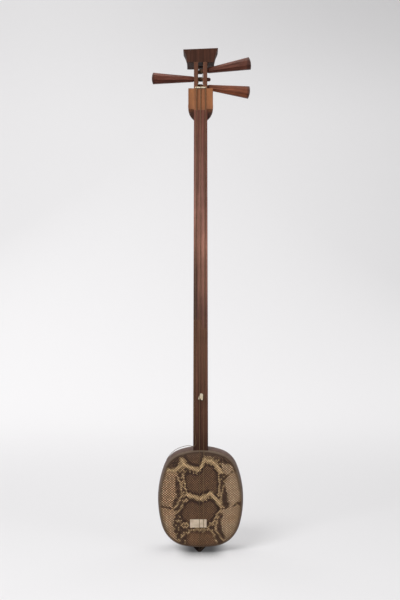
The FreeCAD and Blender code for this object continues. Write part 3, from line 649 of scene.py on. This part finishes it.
def wood(name, tones, turn=0.0, band=0.004, rough=0.42, shift=0.0, contrast=1.0, shine=0.16,
         extra=None):
    """Oiled wood whose grain runs along Z, turned about Y by an angle in degrees.

    tones lists heights in millimetres with their colours, shift moves the grain in metres, and
    extra adds what one kind of piece has to its colour."""
    made, tree, surface = blank_material(name)
    place = put(tree, "ShaderNodeTexCoord").outputs["Object"]
    placed = put(tree, "ShaderNodeMapping", {
        "Vector": place, "Rotation": (0, math.radians(turn), 0),
        "Location": (shift, 0.37 * shift, 0.6 * shift)})
    base = toned(tree, place, tones)
    grain = grouped(tree, "straight_grain", {
        "Place": placed.outputs[0], "Base": base, "Band width": band, "Contrast": contrast})
    colour = grain["Colour"]
    if extra:
        colour = extra(tree, place, colour)
    aged = grouped(tree, "age", {"Colour": colour, "Amount": WOOD_GRIME})
    rubbed = grouped(tree, "edge_rub", {"Amount": 0.4})["Rubbed"]
    colour = blended(tree, rubbed, aged["Colour"], paint(*RUBBED_WOOD))
    tree.links.new(colour, surface["Base Color"])
    worn = maths(tree, "ADD", maths(tree, "ADD", grain["Gloss loss"], aged["Gloss loss"]), rough)
    worn = maths(tree, "SUBTRACT", worn, maths(tree, "MULTIPLY", rubbed, 0.1))
    tree.links.new(worn, surface["Roughness"])
    bump = put(tree, "ShaderNodeBump", {"Height": grain["Height"], "Strength": 0.35, "Distance": 0.00012})
    tree.links.new(bump.outputs[0], surface["Normal"])
    surface["Specular IOR Level"].default_value = shine
    return made


def snakeskin():
    """Small overlapping scales, each with one colour taken from where its middle lies."""
    made, tree, surface = blank_material("snakeskin")
    place = put(tree, "ShaderNodeAttribute", attribute_name="place").outputs["Vector"]
    parts = put(tree, "ShaderNodeSeparateXYZ", {0: place}).outputs
    x, from_edge, z = parts[0], parts[1], parts[2]
    away = maths(tree, "MULTIPLY_ADD", maths(tree, "ABSOLUTE", x), SCALE_WIDENING, 1.0)
    stretch = maths(tree, "DIVIDE", maths(tree, "LOGARITHM", away, math.e), SCALE_WIDENING * SCALE_WIDTH)
    column = maths(tree, "MULTIPLY", stretch, maths(tree, "SIGN", x))
    row = maths(tree, "DIVIDE", z, SCALE_HEIGHT)
    u = maths(tree, "ADD", column, row)
    v = maths(tree, "SUBTRACT", column, row)
    cell_u = maths(tree, "FLOOR", u)
    cell_v = maths(tree, "FLOOR", v)
    fu = maths(tree, "SUBTRACT", u, cell_u)
    fv = maths(tree, "SUBTRACT", v, cell_v)
    mid_column = maths(tree, "DIVIDE", maths(tree, "ADD", maths(tree, "ADD", cell_u, cell_v), 1.0), 2.0)
    mid_row = maths(tree, "DIVIDE", maths(tree, "SUBTRACT", cell_u, cell_v), 2.0)
    spread = maths(tree, "MULTIPLY", maths(tree, "ABSOLUTE", mid_column), SCALE_WIDENING * SCALE_WIDTH)
    spread = maths(tree, "SUBTRACT", maths(tree, "EXPONENT", spread), 1.0)
    mid_x = maths(tree, "DIVIDE", spread, SCALE_WIDENING)
    mid_x = maths(tree, "MULTIPLY", mid_x, maths(tree, "SIGN", mid_column))
    dx = maths(tree, "SUBTRACT", mid_x, x)
    dz = maths(tree, "SUBTRACT", maths(tree, "MULTIPLY", mid_row, SCALE_HEIGHT), z)
    cell = put(tree, "ShaderNodeCombineXYZ", {0: cell_u, 1: cell_v}).outputs[0]
    dice = put(tree, "ShaderNodeTexWhiteNoise", {"Vector": cell}, noise_dimensions="3D").outputs
    luck = dice["Value"]
    dice_parts = put(tree, "ShaderNodeSeparateColor", {0: dice["Color"]}).outputs

    def at_middle(label, jitter):
        """One layer's distance at the middle of the scale, a little uneven from scale to scale."""
        layer = put(tree, "ShaderNodeAttribute", attribute_name=label).outputs["Vector"]
        value, slope_x, slope_z = put(tree, "ShaderNodeSeparateXYZ", {0: layer}).outputs[:3]
        there = maths(tree, "MULTIPLY_ADD", slope_x, dx, value)
        there = maths(tree, "MULTIPLY_ADD", slope_z, dz, there)
        return maths(tree, "MULTIPLY_ADD", maths(tree, "SUBTRACT", luck, 0.5), jitter, there)

    patch = at_middle("patch", 1.4)
    cream = at_middle("cream", 2.2)
    flank = at_middle("flank", 2.2)
    tan = at_middle("side", 1.6)
    edge = maths(tree, "MINIMUM", maths(tree, "MINIMUM", fu, maths(tree, "SUBTRACT", 1.0, fu)),
                 maths(tree, "MINIMUM", fv, maths(tree, "SUBTRACT", 1.0, fv)))
    on_patch = ramped(tree, patch, 0.4, -0.4)
    patch_rim = ramped(tree, patch, -6.5, -1.5)
    on_cream = ramped(tree, cream, 0.4, -0.4)
    cream_core = ramped(tree, cream, -0.3, -2.6)
    on_tan = ramped(tree, tan, 0.5, -0.5)
    on_flank = ramped(tree, flank, 1.0, -1.0)

    net = blended(tree, dice_parts[0], paint(80, 58, 43), paint(118, 92, 70))
    net = blended(tree, ramped(tree, luck, 0.66, 0.70), net, paint(204, 168, 124))
    tan_shade = blended(tree, dice_parts[0], paint(216, 176, 136), paint(248, 213, 171))
    warmth = fractal(tree, place, 0.028, 2.0)
    tan_shade = blended(tree, ramped(tree, warmth, 0.45, 0.62, 0.0, 0.5), tan_shade, paint(230, 180, 132))
    dark_shade = blended(tree, patch_rim, paint(140, 105, 77), paint(62, 43, 32))
    low_patch = ramped(tree, z, 52.0, 34.0, 0.0, 0.35)
    dark_shade = blended(tree, low_patch, dark_shade, paint(204, 152, 110))
    cream_shade = blended(tree, cream_core, paint(168, 138, 102), paint(222, 190, 142))
    flank_shade = blended(tree, dice_parts[1], paint(62, 44, 34), paint(132, 101, 78))
    colour = blended(tree, on_tan, net, tan_shade)
    colour = blended(tree, on_flank, colour, flank_shade)
    colour = blended(tree, on_patch, colour, dark_shade)
    colour = blended(tree, on_cream, colour, cream_shade)
    tone = maths(tree, "MULTIPLY_ADD", dice_parts[2], 0.5, 0.75)
    clump = ramped(tree, fractal(tree, cell, 0.42, 2.0, 0.6), 0.34, 0.66, 0.94, 1.06)
    tone = maths(tree, "MULTIPLY", tone, clump)
    # Each scale is lighter at its lower tip and darker towards its base: a painted highlight on its crown.
    upward = maths(tree, "MULTIPLY", maths(tree, "SUBTRACT", maths(tree, "ADD", fu, 1.0), fv), 0.5)
    tone = maths(tree, "MULTIPLY", tone, ramped(tree, upward, 0.1, 0.9, 1.12, 0.86))
    colour = blended(tree, 1.0, colour, grey(tree, tone), "MULTIPLY")
    wide_gap = ramped(tree, edge, 0.28, 0.13)
    thin_gap = ramped(tree, edge, 0.17, 0.07)
    gap = put(tree, "ShaderNodeMix", {0: on_cream, 2: wide_gap, 3: thin_gap}).outputs[0]
    gap_colour = blended(tree, on_cream, paint(36, 24, 18), paint(88, 66, 46))
    colour = blended(tree, gap, colour, gap_colour)
    fine = fractal(tree, place, 1.6, 3.0, 0.6)
    speck = ramped(tree, fine, 0.3, 0.75, 0.96, 1.03)
    colour = blended(tree, 1.0, colour, grey(tree, speck), "MULTIPLY")
    # The skin darkens towards its top: partly its own dark top, partly painted shade under the neck and rim.
    colour = blended(tree, ramped(tree, z, 176.0, 194.0, 0.0, 0.5), colour, paint(78, 62, 54))
    colour = blended(tree, ramped(tree, from_edge, -6.5, -2.5, 0.0, 0.7), colour, paint(66, 50, 38))
    colour = blended(tree, ramped(tree, from_edge, -1.8, 0.2, 0.0, 0.8), colour, paint(106, 90, 76))
    aged = grouped(tree, "age", {"Colour": colour, "Grime": paint(62, 46, 36), "Amount": 0.2})
    tree.links.new(aged["Colour"], surface["Base Color"])
    rough = maths(tree, "ADD", ramped(tree, gap, 0.0, 1.0, 0.42, 0.62), aged["Gloss loss"])
    rough = maths(tree, "MULTIPLY_ADD", fine, 0.08, rough)
    tree.links.new(rough, surface["Roughness"])
    rise = ramped(tree, edge, 0.0, 0.26)
    height = maths(tree, "ADD", rise, maths(tree, "MULTIPLY", fine, 0.05))
    bump = put(tree, "ShaderNodeBump", {"Height": height, "Strength": 0.5, "Distance": 0.00022})
    tree.links.new(bump.outputs[0], surface["Normal"])
    surface["Specular IOR Level"].default_value = 0.18
    return made


def bone():
    """Polished bone, yellowed in streaks."""
    made, tree, surface = blank_material("polished_bone")
    place = put(tree, "ShaderNodeTexCoord").outputs["Object"]
    streaks = fractal(tree, stretched(tree, place, 0.0006, 0.008), 1.0, 3.0, 0.6)
    colour = blended(tree, ramped(tree, streaks, 0.35, 0.65), paint(232, 224, 204), paint(208, 192, 160))
    aged = grouped(tree, "age", {"Colour": colour, "Grime": paint(150, 120, 84), "Amount": 0.3})
    tree.links.new(aged["Colour"], surface["Base Color"])
    tree.links.new(maths(tree, "ADD", aged["Gloss loss"], 0.28), surface["Roughness"])
    bump = put(tree, "ShaderNodeBump", {"Height": streaks, "Strength": 0.2, "Distance": 0.0001})
    tree.links.new(bump.outputs[0], surface["Normal"])
    return made


def silk(name, light, dark):
    """Twisted brown string, a little dusty."""
    made, tree, surface = blank_material(name)
    place = put(tree, "ShaderNodeTexCoord").outputs["Object"]
    strands = fractal(tree, stretched(tree, place, 0.0005, 0.0012), 1.0, 2.0)
    colour = blended(tree, strands, paint(*light), paint(*dark))
    aged = grouped(tree, "age", {"Colour": colour, "Grime": paint(*dark), "Amount": 0.4})
    tree.links.new(aged["Colour"], surface["Base Color"])
    tree.links.new(maths(tree, "ADD", aged["Gloss loss"], 0.5), surface["Roughness"])
    surface["Specular IOR Level"].default_value = 0.2
    bump = put(tree, "ShaderNodeBump", {"Height": strands, "Strength": 0.3, "Distance": 0.0001})
    tree.links.new(bump.outputs[0], surface["Normal"])
    return made


def paper():
    """Old cream paper, blank, with brown stains."""
    made, tree, surface = blank_material("old_paper")
    place = put(tree, "ShaderNodeTexCoord").outputs["Object"]
    fibres = fractal(tree, place, 900.0, 4.0, 0.7)
    stains = ramped(tree, fractal(tree, place, 120.0, 3.0, 0.6), 0.4, 0.7)
    colour = blended(tree, stains, paint(218, 200, 178), paint(192, 172, 149))
    colour = blended(tree, maths(tree, "MULTIPLY", fibres, 0.3), colour, paint(168, 146, 122))
    aged = grouped(tree, "age", {"Colour": colour, "Grime": paint(140, 108, 76), "Amount": 0.25})
    tree.links.new(aged["Colour"], surface["Base Color"])
    surface["Roughness"].default_value = 0.85
    bump = put(tree, "ShaderNodeBump", {"Height": fibres, "Strength": 0.3, "Distance": 0.0001})
    tree.links.new(bump.outputs[0], surface["Normal"])
    return made


def finish_with(material, *pieces):
    for piece in pieces:
        piece.data.materials.clear()
        piece.data.materials.append(material)


def finish_nodes(material, *names):
    for name in names:
        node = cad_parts[name]
        for slot in node.material_slots:
            slot.material = material


# Small pieces.

LABEL_TRIM = {"side": 0.5 * MM, "foot": 0.7 * MM, "top": 1.5 * MM}
LABEL_CELLS = (60, 34)
LABEL_THICKNESS = 0.15 * MM


def make_label():
    """The paper label: thin, a little lifted and wavy at its corners."""
    low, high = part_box("paper_label")
    left, right = low.x + LABEL_TRIM["side"], high.x - LABEL_TRIM["side"]
    foot, top = low.z + LABEL_TRIM["foot"], high.z - LABEL_TRIM["top"]
    mesh = bpy.data.meshes.new("front_label")
    shape = bmesh.new()
    columns, rows = LABEL_CELLS
    grid = []
    for row in range(rows + 1):
        line = []
        for column in range(columns + 1):
            s, t = column / columns, row / rows
            x = left + (right - left) * s
            z = foot + (top - foot) * t
            wave = 0.05 * math.sin(9 * s + 2 * t) * math.sin(6 * t + 1) + 0.05
            corner = max(0.0, abs(2 * s - 1) - 0.82) * max(0.0, abs(2 * t - 1) - 0.7) * 3.2
            ragged = 0.08 * math.sin(31 * s) if row in (0, rows) else 0.0
            line.append(shape.verts.new((x, low.y - (wave + corner) * MM, z + ragged * MM)))
        grid.append(line)
    for row in range(rows):
        for column in range(columns):
            shape.faces.new((grid[row][column], grid[row][column + 1], grid[row + 1][column + 1],
                             grid[row + 1][column]))
    shape.to_mesh(mesh)
    shape.free()
    piece = bpy.data.objects.new("front_label", mesh)
    bpy.context.scene.collection.objects.link(piece)
    solid = piece.modifiers.new("thickness", "SOLIDIFY")
    solid.thickness = LABEL_THICKNESS
    solid.offset = -1
    mesh.shade_smooth()
    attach(piece, "root")
    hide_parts("paper_label")
    return piece


# Stage and light.

CONTACT_REACH = 0.08
TAIL_MIDDLE = 0.003
SHEET_GREY = 0.45
SHEET_GREEN = 0.99
SHEET_FRONT, SHEET_BACK = -4.0, 3.2
SHEET_HALF_WIDTH = 6.0
SHEET_TOP = 5.0
SHEET_BEND = 1.6
BEND_STEPS = 40


def sheet_colour(tree, value):
    """The sheet's grey at one brightness, with a little less green."""
    green = maths(tree, "MULTIPLY", value, SHEET_GREEN)
    return put(tree, "ShaderNodeCombineColor", {0: value, 1: green, 2: value}).outputs[0]


def make_backdrop():
    """A seamless sheet: the floor curves up into the wall far behind."""
    bend_start = SHEET_BACK - SHEET_BEND
    section = [(SHEET_FRONT, 0.0), (bend_start, 0.0)]
    for step in range(1, BEND_STEPS):
        angle = math.pi / 2 * step / BEND_STEPS
        section.append((bend_start + SHEET_BEND * math.sin(angle), SHEET_BEND * (1 - math.cos(angle))))
    section += [(SHEET_BACK, SHEET_BEND), (SHEET_BACK, SHEET_TOP)]
    mesh = bpy.data.meshes.new("backdrop")
    shape = bmesh.new()
    left, right = [[shape.verts.new((x, y, z)) for y, z in section]
                   for x in (-SHEET_HALF_WIDTH, SHEET_HALF_WIDTH)]
    for index in range(len(section) - 1):
        shape.faces.new((left[index], right[index], right[index + 1], left[index + 1]))
    shape.to_mesh(mesh)
    shape.free()
    mesh.shade_smooth()
    piece = bpy.data.objects.new("backdrop", mesh)
    bpy.context.scene.collection.objects.link(piece)
    material = bpy.data.materials.new("seamless_paper")
    material.use_nodes = True
    tree = material.node_tree
    tree.nodes.clear()
    place = put(tree, "ShaderNodeNewGeometry").outputs["Position"]
    parts = put(tree, "ShaderNodeSeparateXYZ", {0: place}).outputs
    # The glow is painted darker to the right and in the upper right corner: painted falloff of the light
    # from the left.
    falloff = ramped(tree, parts[0], -0.9, 2.2, 1.0, 0.76)
    corner = maths(tree, "MULTIPLY", ramped(tree, parts[2], 1.35, 2.1),
                   ramped(tree, parts[0], -0.9, 0.9, 0.07, 0.23))
    falloff = maths(tree, "MULTIPLY", falloff, maths(tree, "SUBTRACT", 1.0, corner))
    # The contact shadow is kept to the floor near the tail.
    open_sky = put(tree, "ShaderNodeAmbientOcclusion", {"Distance": CONTACT_REACH}, samples=12)
    contact = ramped(tree, open_sky.outputs["AO"], 0.35, 1.0, 0.2, 1.0)
    off_tail = maths(tree, "ABSOLUTE", maths(tree, "SUBTRACT", parts[0], TAIL_MIDDLE))
    away = ramped(tree, off_tail, 0.016, 0.056)
    contact = put(tree, "ShaderNodeMix", {0: away, 2: contact, 3: 1.0}).outputs[0]
    shade = maths(tree, "MULTIPLY", contact, SHEET_GREY)
    diffuse = put(tree, "ShaderNodeBsdfDiffuse", {"Color": sheet_colour(tree, shade)}).outputs[0]
    strength = maths(tree, "MULTIPLY", ramped(tree, parts[1], 0.2, 2.2, 0.38, 0.60), contact)
    strength = maths(tree, "MULTIPLY", lens_sees(tree), strength)
    glow = put(tree, "ShaderNodeEmission", {"Color": sheet_colour(tree, falloff), "Strength": strength})
    both = put(tree, "ShaderNodeAddShader", {0: diffuse, 1: glow.outputs[0]}).outputs[0]
    tree.links.new(both, put(tree, "ShaderNodeOutputMaterial").inputs[0])
    mesh.materials.append(material)
    return piece


WORLD_LIGHT = 0.14
WORLD_SEEN = 0.72
FRONT_LAMPS = {
    "key_softbox": ((-1.1, -1.9, 2.1), (0, 0, 0.55), (1.3, 1.3), 62),
    "top_softbox": ((0.1, 0.1, 2.6), (0, 0, 0.4), (1.6, 1.6), 25),
    "fill_softbox": ((1.9, -1.7, 0.9), (0, 0, 0.5), (1.2, 1.6), 14),
}
BACK_LAMPS = {
    "back_left_softbox": ((-1.5, 2.1, 1.7), (0, 0, 0.5), (1.4, 1.4), 12),
    "back_right_softbox": ((1.6, 1.9, 1.4), (0, 0, 0.5), (1.4, 1.4), 9),
}


def add_lamp(name, place, aim, size, power):
    light = bpy.data.lights.new(name, "AREA")
    light.shape = "RECTANGLE"
    light.size, light.size_y = size
    light.energy = power
    seat = bpy.data.objects.new(name, light)
    seat.location = place
    seat.rotation_euler = (Vector(aim) - Vector(place)).to_track_quat("-Z", "Y").to_euler()
    bpy.context.scene.collection.objects.link(seat)
    return seat


def make_light():
    """Five softboxes, and a world that looks brighter than it lights."""
    for name, values in FRONT_LAMPS.items():
        add_lamp(name, *values)
    for name, values in BACK_LAMPS.items():
        seat = add_lamp(name, *values)
        seat.visible_camera = False
        seat.visible_glossy = False
    world = bpy.data.worlds.new("studio")
    world.use_nodes = True
    tree = world.node_tree
    sky = tree.nodes["Background"].inputs
    sky["Color"].default_value = (1, 1, 1, 1)
    strength = maths(tree, "MULTIPLY_ADD", lens_sees(tree), WORLD_SEEN - WORLD_LIGHT, WORLD_LIGHT)
    tree.links.new(strength, sky["Strength"])
    bpy.context.scene.world = world


make_camera()
slack = make_slack_string()
tauts = make_taut_strings()
turns = make_windings()
knots = make_knots()
front_skin = make_skin("front_skin", "front_snakeskin", -1)
back_skin = make_skin("back_skin", "back_snakeskin", 1)
label = make_label()

GROUPS["straight_grain"] = grain_group()
GROUPS["edge_rub"] = rub_group()
GROUPS["age"] = age_group()

finish_with(silk("twisted_silk", (120, 97, 68), (88, 70, 49)), slack, *tauts, *turns)
# The tied ends are much darker than the strings: painted shade of the tail under the drum.
finish_with(silk("tied_silk_painted_shade", (58, 44, 34), (38, 28, 22)), *knots)
finish_with(snakeskin(), front_skin, back_skin)
finish_with(paper(), label)
finish_nodes(bone(), "nut", "bridge")
finish_nodes(wood("head_rosewood", HEAD_TONES, rough=0.52, shift=0.3, contrast=0.7, shine=0.1), "head_block")
finish_nodes(wood("pegbox_rosewood", PEGBOX_TONES, shift=0.1, contrast=0.7), "pegbox")
finish_nodes(wood("ear_rosewood", EAR_TONES_WITH_PAINTED_SHADE, shift=0.7, contrast=0.6), "ear_left", "ear_right")
finish_nodes(wood("neck_rosewood", NECK_TONES_WITH_PAINTED_SHEEN, contrast=0.85, extra=left_dark_streak), "neck_upper")
finish_nodes(wood("lower_neck_rosewood", LOWER_NECK_TONES_WITH_PAINTED_SHADE, shift=1.3, contrast=0.7), "neck_lower")
finish_nodes(wood("frame_rosewood", FRAME_TONES, rough=0.4, contrast=0.6), "frame_left", "frame_right")
finish_nodes(wood("frame_end_rosewood", FRAME_TONES, turn=90, rough=0.4, contrast=0.6),
             "frame_top", "frame_bottom")
finish_nodes(wood("tail_rosewood", TAIL_TONES_WITH_PAINTED_SHADE, rough=0.55, contrast=0.5, shine=0.08), "tail_block")
for peg, (side, rise, tone) in PEGS.items():
    tilt = math.radians(rise)
    turn = math.degrees(math.atan2(-side * math.cos(tilt), math.sin(tilt)))
    finish_nodes(wood(peg + "_rosewood", [(0, tone)], turn=turn, band=0.003, rough=0.46,
                      shift=rise * 0.05, contrast=0.9, shine=0.14, extra=dark_ends), peg)

make_backdrop()
make_light()
bpy.context.scene.view_settings.view_transform = "Standard"
